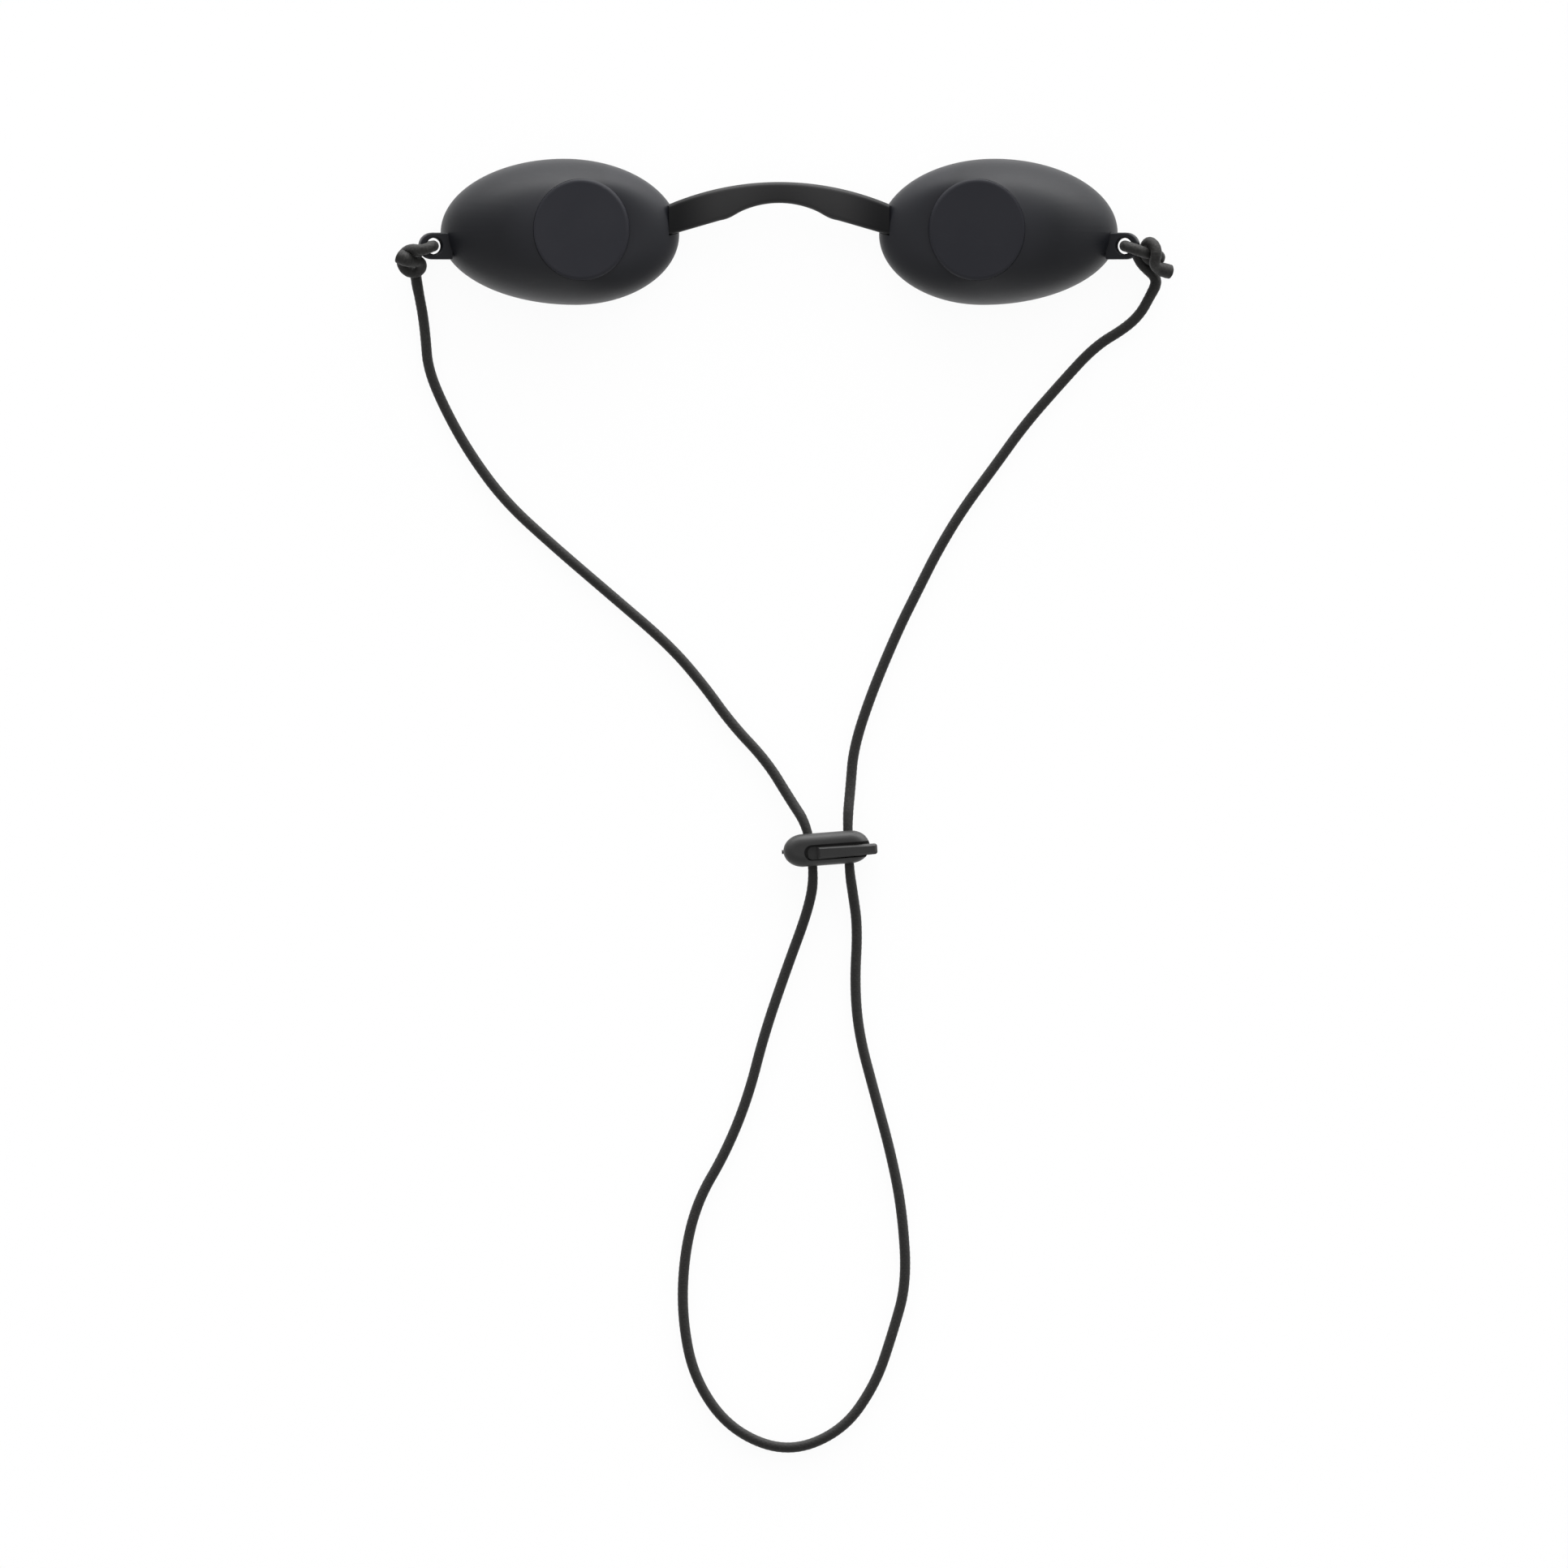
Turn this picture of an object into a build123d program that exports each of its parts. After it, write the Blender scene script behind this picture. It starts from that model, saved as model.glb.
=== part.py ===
from build123d import *

import os
from math import acos, cos, pi, radians, sin, tan

# Tanning goggles: two eye cups with round filter windows, a soft nose bridge between them,
# and one elastic cord that is knotted into an eyelet on each cup and gathered by a lock.
# The goggles lie on the rims of their cups on z = 0, front side up, brow side towards +Y.
# The origin is the middle of the goggles on that surface. The cord lies towards -Y.
# The left cup, at -X, is drawn here and the right one is its mirror image.

# Rim of a cup, and how far its nose tip reaches past the end of the bridge
nose_overlap = 2.0
rim_length = 46.2
rim_width = 28.3
rim_crest_shift = 0.8
rim_trough_shift = 3.0
temple_tip_drop = 0.2
nose_tip_drop = 0.5
wall = 1.3
rim_round = 0.4

# Filter window in its seat on the front of the cup, and its place from the cup's middle
lens_shift = 4.4
lens_rise = 0.3
lens_height = 11.0
lens_tilt = 17
lens_diameter = 19.6
lens_thickness = 1.6
lens_round = 1.0
lens_round_shift = 0.3
lens_clearance = 0.05
lens_proud_temple = 0.12
lens_proud_nose = 0.95
crown_margin = 0.3
apex_radius = 4.5
window_diameter = 16.4
seat_thickness = 1.0
cavity_crown_diameter = 19.0

# Eyelet tab on the temple end of the cup
eyelet_beyond_rim = 1.35
eyelet_drop = 2.8
eyelet_height = 4.9
eyelet_diameter = 3.15
tab_width = 5.2
tab_reach = 2.85
tab_root = 3.6
tab_thickness = 1.9
tab_slope = 16
tab_round = 0.35

# Nose bridge
bridge_length = 42.6
bridge_end_height = 2.7
bridge_thickness = 2.6
bridge_rise = 2.2
bridge_round = 0.6
bridge_top = 9.58
bridge_top_end = 5.3
bridge_arch_top = 5.5
bridge_arch_foot = 2.7
bridge_arch_width = 19.0
bridge_low_end = -0.7
bridge_corner_round = 2.5
tongue_length = 1.7
tongue_middle = 1.4
tongue_width = 2.6
tongue_thickness = 1.3
tongue_clearance = 0.1
pad_wall = 1.0
pad_floor = 0.6

# Cord, with the room that it leaves beside itself where it is wound or threaded
cord_diameter = 2.0
cord_gap = 0.15
cord_lead = 3.6
arc_share = 0.45

# Run of the cord through an eyelet
eyelet_run = 3.3

# Cord lock
lock_x = 9.2
lock_y = -119.3
lock_turn = 4.4
lock_length = 16.8
lock_depth = 6.35
lock_end_length = 3.8
lock_height = 7.0
lock_round = 2.0
lock_hole_diameter = 2.4
lock_hole_height = 3.5
left_hole_x = -3.1
right_hole_x = 4.2
pocket_width = 3.7
pocket_height = 3.8
pocket_end_x = -7.2
slot_width = 3.0
slot_middle = -0.6
slot_end_x = -4.4
skin_thickness = 0.75
undercut = 0.9
gate_diameter = 0.8
gate_length = 0.3
plunger_clearance = 0.1
plunger_end_x = -4.9
plunger_reach = 9.75
plunger_travel = 1.2
plunger_round = 1.0
shoulder_x = -3.7
shoulder_rise = 0.8
ridge_x = -1.8
ridge_width = 2.5
ridge_end_width = 2.05
ridge_chamfer = 0.45
ridge_end_round = 0.5
ridge_end_share = 0.5
plunger_end_round = 0.9
slot_gap_low = 0.12
lock_exit_share = 0.75

# Spring in the lock
spring_diameter = 2.8
spring_wire = 0.3
spring_turns = 3
spring_step = 45

# How far a cutting tool runs past the face that it cuts
overrun = 1.0

# Cord in each knot: its way in to the eyelet, and its turns past the eyelet to its end
left_knot_in = [
    (-69.6, -12.4, 1.1),
    (-70.1, -9.8, 1.1),
    (-70.5, -6.8, 1.05),
    (-70.2, -4.3, 1.2),
    (-68.9, -3.0, 1.5),
    (-67.3, -2.8, 2.05),
]
left_knot_turns = [
    (-67.4, -3.1, 8.1),
    (-69.2, -3.7, 8.45),
    (-71.3, -3.35, 6.1),
    (-72.8, -4.4, 3.8),
    (-73.0, -6.3, 3.45),
    (-71.9, -7.75, 3.4),
    (-70.2, -8.0, 3.1),
    (-69.05, -7.0, 3.65),
    (-69.35, -5.75, 4.75),
    (-70.9, -5.8, 6.25),
    (-72.2, -5.4, 7.2),
    (-73.45, -4.8, 6.75),
]
right_knot_in = [
    (71.65, -12.6, 1.1),
    (72.95, -10.2, 1.1),
    (72.7, -8.6, 1.1),
    (71.1, -7.2, 1.15),
    (69.85, -5.85, 1.05),
    (69.0, -3.9, 1.35),
    (67.5, -2.9, 1.85),
]
right_knot_turns = [
    (67.4, -3.0, 8.1),
    (69.3, -3.65, 8.45),
    (71.15, -4.25, 6.1),
    (73.75, -4.55, 4.75),
    (73.35, -5.75, 2.9),
    (71.45, -5.5, 2.35),
    (70.55, -3.85, 3.15),
    (70.9, -2.4, 4.65),
    (71.85, -1.95, 6.5),
    (72.9, -3.2, 7.55),
    (72.85, -4.95, 7.85),
    (72.45, -6.5, 6.55),
    (73.75, -7.0, 4.9),
    (75.8, -7.15, 3.85),
]

# Cord on its way from each knot to the lock, and round the loop below the lock
left_cord_upper = [
    (-68.4, -20.2, 1.05),
    (-67.9, -26.6, 1.05),
    (-64.6, -34.4, 1.05),
    (-59.8, -43.0, 1.05),
    (-53.0, -52.2, 1.05),
    (-43.6, -60.8, 1.05),
    (-32.5, -70.3, 1.05),
]
left_cord_lower = [
    (-32.5, -70.3, 1.05),
    (-21.4, -79.8, 1.05),
    (-14.8, -87.4, 1.05),
    (-9.2, -95.2, 1.05),
    (-2.4, -102.4, 1.05),
    (2.4, -109.4, 1.6),
]
right_cord_upper = [
    (67.0, -18.6, 1.05),
    (61.0, -22.2, 1.05),
    (54.4, -29.4, 1.05),
    (47.4, -37.4, 1.05),
    (41.8, -45.2, 1.05),
    (35.4, -53.8, 1.05),
    (30.6, -61.8, 1.05),
    (26.8, -69.4, 1.05),
]
right_cord_lower = [
    (26.8, -69.4, 1.05),
    (23.0, -77.0, 1.05),
    (17.8, -89.4, 1.05),
    (14.4, -99.8, 1.05),
    (13.8, -107.4, 1.3),
]
cord_loop_route = [
    (5.7, -131.0, 1.6),
    (1.4, -142.6, 1.05),
    (-2.9, -155.2, 1.05),
    (-6.0, -167.4, 1.05),
    (-10.4, -178.2, 1.05),
    (-15.8, -187.4, 1.05),
    (-18.4, -198.0, 1.05),
    (-18.8, -210.0, 1.05),
    (-16.4, -222.0, 1.05),
    (-9.4, -231.8, 1.05),
    (1.6, -236.2, 1.05),
    (12.2, -232.0, 1.05),
    (18.6, -223.0, 1.05),
    (21.9, -213.2, 1.05),
    (24.7, -203.2, 1.05),
    (23.8, -189.4, 1.05),
    (21.7, -178.6, 1.05),
    (18.5, -166.8, 1.05),
    (15.4, -155.2, 1.05),
    (14.6, -145.4, 1.05),
    (15.2, -134.6, 1.05),
    (14.2, -127.6, 2.4),
]

# A curve's handles reach this share of the way to the corner on a quarter of an ellipse
quarter_share = 0.5523
dome_steps = 6

# Points on each diameter's length of a wound tube where its gap to itself is measured
gap_steps = 8

# Places along X, on the left side, that follow from the sizes above
bridge_end_x = -bridge_length / 2
cup_x = bridge_end_x + nose_overlap - rim_length / 2
lens_x = cup_x + lens_shift
eyelet_x = cup_x - rim_length / 2 - eyelet_beyond_rim


def box_between(low, high):
    """A box from one corner to the opposite one."""
    size = Vector(*high) - Vector(*low)
    middle = (Vector(*high) + Vector(*low)) / 2
    return Pos(middle) * Box(size.X, size.Y, size.Z)


def ring(temple, crest, nose, trough):
    """A closed ring of four quarter curves through its four outermost points."""

    def quarter(side, end):
        upright = Vector(side.X, side.Y + quarter_share * (end.Y - side.Y), side.Z)
        level = Vector(
            end.X + quarter_share * (side.X - end.X),
            end.Y,
            end.Z + quarter_share * (side.Z - end.Z),
        )
        return [side, upright, level, end]

    return Wire(
        [
            Bezier(*quarter(temple, crest)),
            Bezier(*reversed(quarter(nose, crest))),
            Bezier(*quarter(nose, trough)),
            Bezier(*reversed(quarter(temple, trough))),
        ]
    )


def rim_points(inset):
    """The four outermost points of the rim, moved in by an inset."""
    return [
        Vector(cup_x - rim_length / 2 + inset, -temple_tip_drop),
        Vector(cup_x + rim_crest_shift, rim_width / 2 - inset),
        Vector(cup_x + rim_length / 2 - inset, -nose_tip_drop),
        Vector(cup_x + rim_trough_shift, inset - rim_width / 2),
    ]


def lens_plane_on(side):
    """The plane of a window's face, with a side of -1 at the left and 1 at the right."""
    tilt = radians(lens_tilt)
    return Plane(
        origin=(-side * lens_x, lens_rise, lens_height),
        x_dir=(cos(tilt), 0, side * sin(tilt)),
        z_dir=(-side * sin(tilt), 0, cos(tilt)),
    )


lens_plane = lens_plane_on(-1)


def crown_points(radius, below_temple, below_nose):
    """The four outermost points of a round crown that lies under the lens's face."""
    below_middle = (below_temple + below_nose) / 2
    places = [
        (-radius, 0, -below_temple),
        (0, radius, -below_middle),
        (radius, 0, -below_nose),
        (0, -radius, -below_middle),
    ]
    return [lens_plane.from_local_coords(Vector(place)) for place in places]


def dome(rim, crown):
    """A dome that rises from the rim in arcs of ellipses, cut off level with the crown."""
    apexes = crown_points(apex_radius, 0, 0)
    rings = []
    for step in range(dome_steps + 1):
        places = []
        for foot, top, apex in zip(rim, crown, apexes):
            reach = Vector(foot.X - apex.X, foot.Y - apex.Y).length
            kept = Vector(top.X - apex.X, top.Y - apex.Y).length / reach
            swing = acos(kept) * step / dome_steps
            out = (cos(swing) - kept) / (1 - kept)
            up = sin(swing) / sin(acos(kept))
            places.append(
                Vector(
                    top.X + (foot.X - top.X) * out,
                    top.Y + (foot.Y - top.Y) * out,
                    top.Z * up,
                )
            )
        rings.append(ring(*places))
    return Solid.make_loft(rings)


def make_tab():
    """The flat tab with the eyelet, which slopes up towards the temple."""
    slope = radians(tab_slope)
    plane = Plane(
        origin=(eyelet_x, -eyelet_drop, eyelet_height),
        x_dir=(cos(slope), 0, -sin(slope)),
        z_dir=(sin(slope), 0, cos(slope)),
    )
    end_x = tab_width / 2 - tab_reach
    length = tab_root - end_x
    outline = Pos(end_x + length / 2, 0) * Rectangle(length, tab_width)
    outline += Pos(end_x, 0) * Circle(tab_width / 2)
    plate = extrude(outline, tab_thickness / 2, both=True)
    plate -= Cylinder(eyelet_diameter / 2, tab_thickness + 2 * overrun)
    root_edges = plate.edges().group_by(Axis.X)[-1]
    flat_edges = plate.edges().filter_by(lambda edge: abs(edge.center().Z) > tab_thickness / 4)
    plate = fillet(flat_edges - root_edges, tab_round)
    return plane * plate


def make_tongue(spread):
    """The tongue at the bridge's left end, or with a spread its socket in the cup."""
    length = tongue_length + spread
    return Pos(
        bridge_end_x - length / 2,
        tongue_middle,
        bridge_end_height,
    ) * Box(length, tongue_width + 2 * spread, tongue_thickness + 2 * spread)


def make_bridge_seat():
    """The room that the bridge's end takes in the nose end of the cup."""
    top = bridge_top_end + tongue_clearance
    low = bridge_low_end - tongue_clearance
    foot = bridge_arch_foot - tongue_clearance
    outline = Polyline(
        (bridge_end_x, low),
        (-bridge_arch_width / 2, foot),
        (-bridge_arch_width / 2, bridge_top),
        (bridge_end_x, bridge_top),
        (bridge_end_x, top),
        (bridge_end_x, low),
    )
    depth = bridge_thickness / 2 + tongue_clearance
    floor = Plane.XY.offset(bridge_end_height - depth)
    return extrude(floor * make_face(outline), 2 * depth + bridge_rise + bridge_thickness)


def make_cup():
    """The left cup: shell, window seat, eyelet tab and the pad that holds the bridge."""
    lens_radius = lens_diameter / 2
    outside = dome(
        rim_points(0),
        crown_points(lens_radius - crown_margin, lens_proud_temple, lens_proud_nose),
    )
    under_seat = lens_thickness + seat_thickness
    inside = dome(
        rim_points(wall),
        crown_points(cavity_crown_diameter / 2, under_seat, under_seat),
    )
    pad_x = bridge_end_x - tongue_length - pad_wall
    pad = box_between(
        (pad_x, bridge_low_end - pad_wall, pad_floor),
        (
            pad_x + rim_length / 2,
            bridge_top_end + pad_wall,
            bridge_end_height + bridge_thickness / 2 + pad_wall,
        ),
    )
    cup = outside + make_tab()
    cup -= inside - pad
    cup -= lens_plane.offset(-lens_thickness) * Cylinder(
        lens_radius + lens_clearance,
        lens_height,
        align=(Align.CENTER, Align.CENTER, Align.MIN),
    )
    cup -= lens_plane * Cylinder(window_diameter / 2, lens_height)
    cup -= make_bridge_seat()
    cup -= make_tongue(tongue_clearance)
    rim = cup.faces().sort_by(Axis.Z)[0]
    return fillet(rim.edges(), rim_round)


def make_lens(side):
    """The round filter window, whose rounded front edge fades out towards the temple."""
    lens = Cylinder(
        lens_diameter / 2,
        lens_thickness,
        align=(Align.CENTER, Align.CENTER, Align.MAX),
    )
    blank = Pos(side * lens_round_shift, 0) * Cylinder(
        lens_diameter / 2 + lens_round_shift,
        lens_thickness + overrun,
        align=(Align.CENTER, Align.CENTER, Align.MAX),
    )
    blank = fillet(blank.edges().group_by(Axis.Z)[-1], lens_round)
    return lens_plane_on(side) * (lens & blank)


def make_bridge():
    """The soft bridge: bowed in plan, arched over the nose, with a tongue at each end."""
    end_x = -bridge_end_x
    foot_x = bridge_arch_width / 2
    corners = [(-foot_x, bridge_arch_foot), (foot_x, bridge_arch_foot)]
    outline = [
        ThreePointArc((-end_x, bridge_top_end), (0, bridge_top), (end_x, bridge_top_end)),
        Line((end_x, bridge_top_end), (end_x, bridge_low_end)),
        Line((end_x, bridge_low_end), corners[1]),
        ThreePointArc(corners[1], (0, bridge_arch_top), corners[0]),
        Line(corners[0], (-end_x, bridge_low_end)),
        Line((-end_x, bridge_low_end), (-end_x, bridge_top_end)),
    ]
    plan = make_face(Wire(outline))
    feet = [corner for corner in plan.vertices() if abs(corner.X) < (foot_x + end_x) / 2]
    plan = fillet(feet, bridge_corner_round)
    arch_radius = (end_x**2 + bridge_rise**2) / (2 * bridge_rise)
    arch_middle = bridge_end_height + bridge_rise - arch_radius
    band_width = 2 * (bridge_top + overrun)
    band = Cylinder(arch_radius + bridge_thickness / 2, band_width)
    band -= Cylinder(arch_radius - bridge_thickness / 2, band_width)
    band = Pos(0, 0, arch_middle) * Rot(90, 0, 0) * band
    bridge = extrude(plan, bridge_end_height + bridge_rise + bridge_thickness) & band
    long_edges = bridge.edges().filter_by(
        lambda edge: abs(edge.center().X) < end_x - bridge_round
    )
    tall_edges = long_edges.filter_by(Axis.Z)
    bridge = fillet(long_edges - tall_edges, bridge_round)
    tongue = make_tongue(0)
    return bridge + tongue + mirror(tongue, about=Plane.YZ)


def route_lengths(points):
    """Each corner's arc radius, and the length of the line that the arcs make."""
    radii = []
    length = sum((b - a).length for a, b in zip(points, points[1:]))
    for before, here, after in zip(points, points[1:], points[2:]):
        half_turn = radians((here - before).get_angle(after - here)) / 2
        run = min((here - before).length, (after - here).length)
        radii.append(arc_share * run / tan(half_turn))
        length -= 2 * radii[-1] * (tan(half_turn) - half_turn)
    return radii, length


def make_tube(name, route, diameter):
    """A round tube along straight runs joined by tangent arcs, measured as it is made."""
    points = [Vector(*point) for point in route]
    radii, length = route_lengths(points)
    path = FilletPolyline(*points, radius=radii)
    start = Plane(origin=points[0], z_dir=points[1] - points[0])
    tube = sweep(start * Circle(diameter / 2), path=path)
    expected = pi * diameter**2 / 4 * length
    print(
        f"{name}: {length:.1f} long, volume {tube.volume:.2f} for {expected:.2f}, radii",
        " ".join(f"{radius:.1f}" for radius in radii),
    )
    return tube, path


def print_least_gap(name, path, diameter):
    """The least gap that a wound tube leaves to itself, on points along its middle."""
    steps = round(path.length / diameter * gap_steps)
    points = [path @ (step / steps) for step in range(steps + 1)]
    apart = round(pi * gap_steps)
    least = min(
        (points[b] - points[a]).length
        for a in range(steps + 1)
        for b in range(a + apart, steps + 1)
    )
    print(f"{name}: least gap to itself {least - diameter:.2f}")


def knot_route(side, way_in, turns):
    """A knot's cord: its way in, straight up through the eyelet on a side, and its turns."""
    hole = Vector(-side * eyelet_x, -eyelet_drop, eyelet_height)
    half_run = Vector(0, 0, eyelet_run / 2)
    route = [Vector(*point) for point in way_in]
    route += [hole - half_run, hole + half_run]
    return route + [Vector(*point) for point in turns]


def lock_place(x, y, z=lock_hole_height):
    """A point of the lock's own frame, in the frame of the goggles."""
    turn = radians(lock_turn)
    return Vector(
        lock_x + x * cos(turn) - y * sin(turn),
        lock_y + x * sin(turn) + y * cos(turn),
        z,
    )


lock_frame = Pos(lock_x, lock_y, 0) * Rot(0, 0, lock_turn)
pocket_floor = lock_hole_height - pocket_height / 2
pocket_ceiling = lock_hole_height + pocket_height / 2


def make_barrel():
    """The lock's body: a capsule with a pocket, a slot in its top and two cord holes."""
    end_x = lock_length / 2 - lock_end_length
    outline = Rectangle(2 * end_x, lock_depth)
    for middle_x in (-end_x, end_x):
        outline += Pos(middle_x, 0) * Ellipse(lock_end_length, lock_depth / 2)
    barrel = extrude(outline, lock_height)
    barrel = fillet(barrel.edges().filter_by(Axis.Z, reverse=True), lock_round)
    far = lock_length / 2 + overrun
    barrel -= box_between(
        (pocket_end_x, -pocket_width / 2, pocket_floor),
        (far, pocket_width / 2, pocket_ceiling),
    )
    slot_round_x = slot_end_x + slot_width / 2
    slot_low = slot_middle - slot_width / 2
    slot_top = slot_middle + slot_width / 2
    barrel -= box_between(
        (slot_round_x, slot_low, lock_hole_height),
        (far, slot_top, lock_height + overrun),
    )
    barrel -= Pos(slot_round_x, slot_middle, lock_hole_height) * Cylinder(
        slot_width / 2, lock_height, align=(Align.CENTER, Align.CENTER, Align.MIN)
    )
    barrel -= box_between(
        (slot_end_x - undercut, slot_low, lock_hole_height),
        (ridge_x, slot_top, lock_height - skin_thickness),
    )
    for hole_x in (left_hole_x, right_hole_x):
        barrel -= Pos(hole_x, 0, lock_hole_height) * Rot(90, 0, 0) * Cylinder(
            lock_hole_diameter / 2, lock_depth + 2 * overrun
        )
    barrel += Pos(-lock_length / 2, 0, lock_hole_height) * Rot(0, 90, 0) * Cylinder(
        gate_diameter / 2, 2 * gate_length
    )
    return lock_frame * barrel


def make_plunger():
    """The sliding piece that pinches the cord, with the ridge that shows in the slot."""
    half_width = pocket_width / 2 - plunger_clearance
    top = pocket_ceiling - plunger_clearance
    bar_end = lock_length / 2 - plunger_round
    plunger = box_between(
        (plunger_end_x, -half_width, pocket_floor + plunger_clearance),
        (bar_end, half_width, top),
    )
    ridge_low = slot_middle - slot_width / 2 + slot_gap_low
    ridge_top = ridge_low + ridge_width
    shoulder = box_between(
        (shoulder_x, ridge_low, top - overrun),
        (ridge_x + overrun, ridge_top, top + shoulder_rise),
    )
    plunger += fillet(shoulder.edges().filter_by(Axis.Z).group_by(Axis.X)[0], plunger_end_round)
    end_low = ridge_low + (ridge_width - ridge_end_width) * ridge_end_share
    outline = Polyline(
        (ridge_x, ridge_low),
        (plunger_reach, end_low),
        (plunger_reach, end_low + ridge_end_width),
        (ridge_x, ridge_top),
        (ridge_x, ridge_low),
    )
    floor = Plane.XY.offset(pocket_floor + plunger_clearance)
    ridge = extrude(floor * make_face(outline), lock_height + cord_gap - floor.origin.Z)
    end_edges = ridge.edges().filter_by(Axis.Z).group_by(Axis.X)[-1]
    ridge = fillet(end_edges, ridge_end_round)
    ridge = chamfer(ridge.edges().group_by(Axis.Z)[-1], ridge_chamfer)
    plunger += ridge - box_between(
        (ridge_x - overrun, -lock_depth, 0),
        (plunger_reach + overrun, -half_width, lock_hole_height + plunger_clearance),
    )
    grip = cord_diameter / 2 + plunger_clearance
    for hole_x in (left_hole_x, right_hole_x):
        for middle_x in (hole_x, hole_x + plunger_travel):
            plunger -= Pos(middle_x, 0, lock_hole_height) * Rot(90, 0, 0) * Cylinder(
                grip, pocket_width + overrun
            )
        plunger -= box_between(
            (hole_x, -half_width - overrun, lock_hole_height - grip),
            (hole_x + plunger_travel, half_width + overrun, lock_hole_height + grip),
        )
    return lock_frame * plunger


def make_spring():
    """The small coil spring between the pocket's end and the plunger."""
    radius = (spring_diameter - spring_wire) / 2
    start_x = pocket_end_x + spring_wire / 2 + plunger_clearance
    end_x = plunger_end_x - spring_wire / 2 - plunger_clearance
    steps = round(spring_turns * 360 / spring_step)
    route = [
        lock_place(
            start_x + (end_x - start_x) * step / steps,
            radius * cos(radians(spring_step * step)),
            lock_hole_height + radius * sin(radians(spring_step * step)),
        )
        for step in range(steps + 1)
    ]
    spring, path = make_tube("lock_spring", route, spring_wire)
    print_least_gap("lock_spring", path, spring_wire)
    return spring


def lead_from(knot):
    """The first run of the cord, in line with its way into the knot."""
    return [knot[0], knot[0] + (knot[0] - knot[1]).normalized() * cord_lead]


way_out = lock_depth * lock_exit_share
hole_ends = [lock_place(hole_x, 0) for hole_x in (left_hole_x, right_hole_x)]
above = [lock_place(hole_x, way_out) for hole_x in (left_hole_x, right_hole_x)]
below = [lock_place(hole_x, -way_out) for hole_x in (left_hole_x, right_hole_x)]

left_knot = knot_route(-1, left_knot_in, left_knot_turns)
right_knot = knot_route(1, right_knot_in, right_knot_turns)
routes = {
    "left_knot": left_knot,
    "right_knot": right_knot,
    "left_cord_upper": [*lead_from(left_knot), *left_cord_upper],
    "left_cord_lower": [*left_cord_lower, above[0], hole_ends[0]],
    "right_cord_upper": [*lead_from(right_knot), *right_cord_upper],
    "right_cord_lower": [*right_cord_lower, above[1], hole_ends[1]],
    "cord_loop": [hole_ends[0], below[0], *cord_loop_route, below[1], hole_ends[1]],
}

left_cup = make_cup()
parts = {
    "left_cup": left_cup,
    "right_cup": mirror(left_cup, about=Plane.YZ),
    "left_lens": make_lens(-1),
    "right_lens": make_lens(1),
    "nose_bridge": make_bridge(),
    "lock_barrel": make_barrel(),
    "lock_plunger": make_plunger(),
    "lock_spring": make_spring(),
}
for name, route in routes.items():
    parts[name], path = make_tube(name, route, cord_diameter)
    if "knot" in name:
        print_least_gap(name, path, cord_diameter)

os.makedirs("parts", exist_ok=True)
for name, solid in parts.items():
    export_step(solid, f"parts/{name}.step")
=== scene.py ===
"""Tanning goggles lying on a pale table, seen from straight above.

The goggles lie along x, the brow is towards y, and the windows face up. Lengths are in
metres and angles in radians, except where a comment says millimetres.
"""

import math
from collections import namedtuple

import bmesh
import bpy
import numpy as np
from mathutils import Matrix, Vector


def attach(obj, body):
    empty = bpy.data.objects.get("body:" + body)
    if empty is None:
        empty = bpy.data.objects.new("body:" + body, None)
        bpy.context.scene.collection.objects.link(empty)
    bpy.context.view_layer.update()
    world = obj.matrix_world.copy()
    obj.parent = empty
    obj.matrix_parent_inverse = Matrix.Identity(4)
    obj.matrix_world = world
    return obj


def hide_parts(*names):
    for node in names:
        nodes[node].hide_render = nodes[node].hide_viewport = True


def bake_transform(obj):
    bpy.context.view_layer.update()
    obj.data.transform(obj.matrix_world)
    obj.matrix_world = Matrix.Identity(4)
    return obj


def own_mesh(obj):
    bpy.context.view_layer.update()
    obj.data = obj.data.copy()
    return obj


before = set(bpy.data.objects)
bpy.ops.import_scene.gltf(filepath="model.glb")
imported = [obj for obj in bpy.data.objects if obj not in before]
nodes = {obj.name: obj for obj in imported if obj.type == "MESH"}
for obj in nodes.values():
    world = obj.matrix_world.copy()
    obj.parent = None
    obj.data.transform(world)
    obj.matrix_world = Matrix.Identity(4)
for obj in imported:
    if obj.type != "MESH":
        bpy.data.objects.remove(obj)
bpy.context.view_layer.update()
mm = 0.001

# Camera: straight above, with the goggles near the top of the picture
picture_width = 303.3 * mm
picture_middle = (0.94 * mm, -106.8 * mm)
camera_height = 8.0
sensor_width = 36
nearest_seen = 0.1
farthest_seen = 20

# Cord: a tube of rings along a smooth line
cord_width = 2.0 * mm
cord_sides = 40
ring_step = 0.135 * mm
curve_steps = 24
same_place = 1e-9

# Braid: strands that cross each other in low relief, and the share of that relief that lies
# under the cord's own radius. A pick is one strand's way past the next, along the cord.
strands = 8
pick = 0.5 * mm
weave_depth = 0.05 * mm
weave_level = 0.75
strand_fullness = 0.6
crossing_dip = 0.4

# Where the cord is thinner or fuller than it is drawn out, as shares of its radius
pinch = 0.09
pinch_reach = 8 * mm
pinch_fade = 3 * mm
knot_swell = 0.075
knot_fade = 2 * mm
frayed_swell = 0.34
frayed_length = 1.2 * mm
frayed_fade = 2.4 * mm

# The rings that round a cut end off: their share of its width and their reach in millimetres
sealed_rings = ((0.96, 0.10), (0.86, 0.20), (0.66, 0.27), (0.36, 0.28))

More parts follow.
